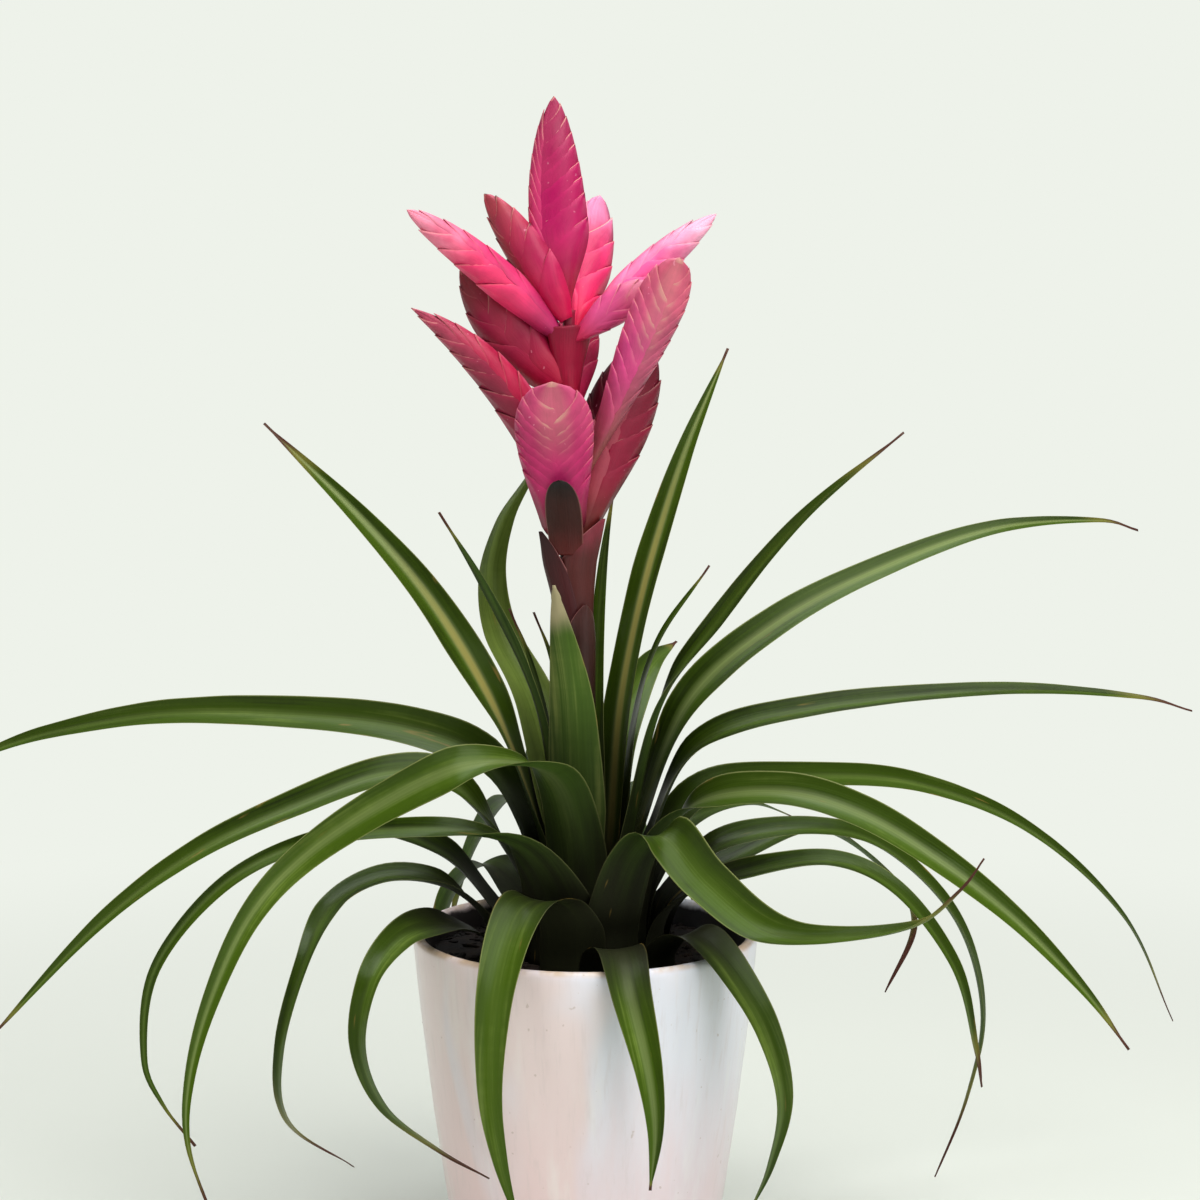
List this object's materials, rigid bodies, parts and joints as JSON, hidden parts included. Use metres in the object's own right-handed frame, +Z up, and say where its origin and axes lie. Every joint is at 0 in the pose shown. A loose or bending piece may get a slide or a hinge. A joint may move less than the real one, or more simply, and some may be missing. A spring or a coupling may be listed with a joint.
{
  "type": "potted bromeliad",
  "caption": "Flowering bromeliad with long arching strap leaves and a pink head of flat overlapping spikes, planted in soil in a white tapering glazed pot",
  "frame": {"origin": "middle of the pot's flat underside", "axes": "+Z up along the pot's axis, -Y towards the front of the plant, +X to its right"},
  "size_m": [0.5792, 0.2922, 0.494],
  "materials": {
    "pot_glaze": "gloss",
    "soil": "matte",
    "leaf": "satin",
    "stalk": "satin",
    "spike": "satin"
  },
  "bodies": {
    "root": {"pot": "pot_glaze", "soil": "soil", "flower_stalk": "stalk", "leaf_01": "leaf", "leaf_02": "leaf", "leaf_03": "leaf", "leaf_04": "leaf", "leaf_05": "leaf", "leaf_06": "leaf", "leaf_07": "leaf", "leaf_08": "leaf", "leaf_09": "leaf", "leaf_10": "leaf", "leaf_11": "leaf", "leaf_12": "leaf", "leaf_13": "leaf", "leaf_14": "leaf", "leaf_15": "leaf", "leaf_16": "leaf", "leaf_17": "leaf", "leaf_18": "leaf", "leaf_19": "leaf", "leaf_20": "leaf", "leaf_21": "leaf", "leaf_22": "leaf", "leaf_23": "leaf", "leaf_24": "leaf", "leaf_25": "leaf", "leaf_26": "leaf", "leaf_27": "leaf", "leaf_28": "leaf", "leaf_29": "leaf", "leaf_30": "leaf", "leaf_31": "leaf", "leaf_32": "leaf", "leaf_33": "leaf", "leaf_34": "leaf", "leaf_35": "leaf", "leaf_36": "leaf", "spike_top": "spike", "spike_back_right": "spike", "spike_upper_left": "spike", "spike_left": "spike", "spike_left_lower": "spike", "spike_right": "spike", "spike_right_short": "spike", "spike_right_long": "spike", "spike_far_left": "spike", "spike_back": "spike", "spike_low_back": "spike", "spike_front": "spike", "spike_low_right": "spike", "bract_1": "stalk", "bract_2": "stalk", "bract_3": "stalk", "bract_4": "stalk", "bract_5": "stalk"}
  },
  "joints": []
}
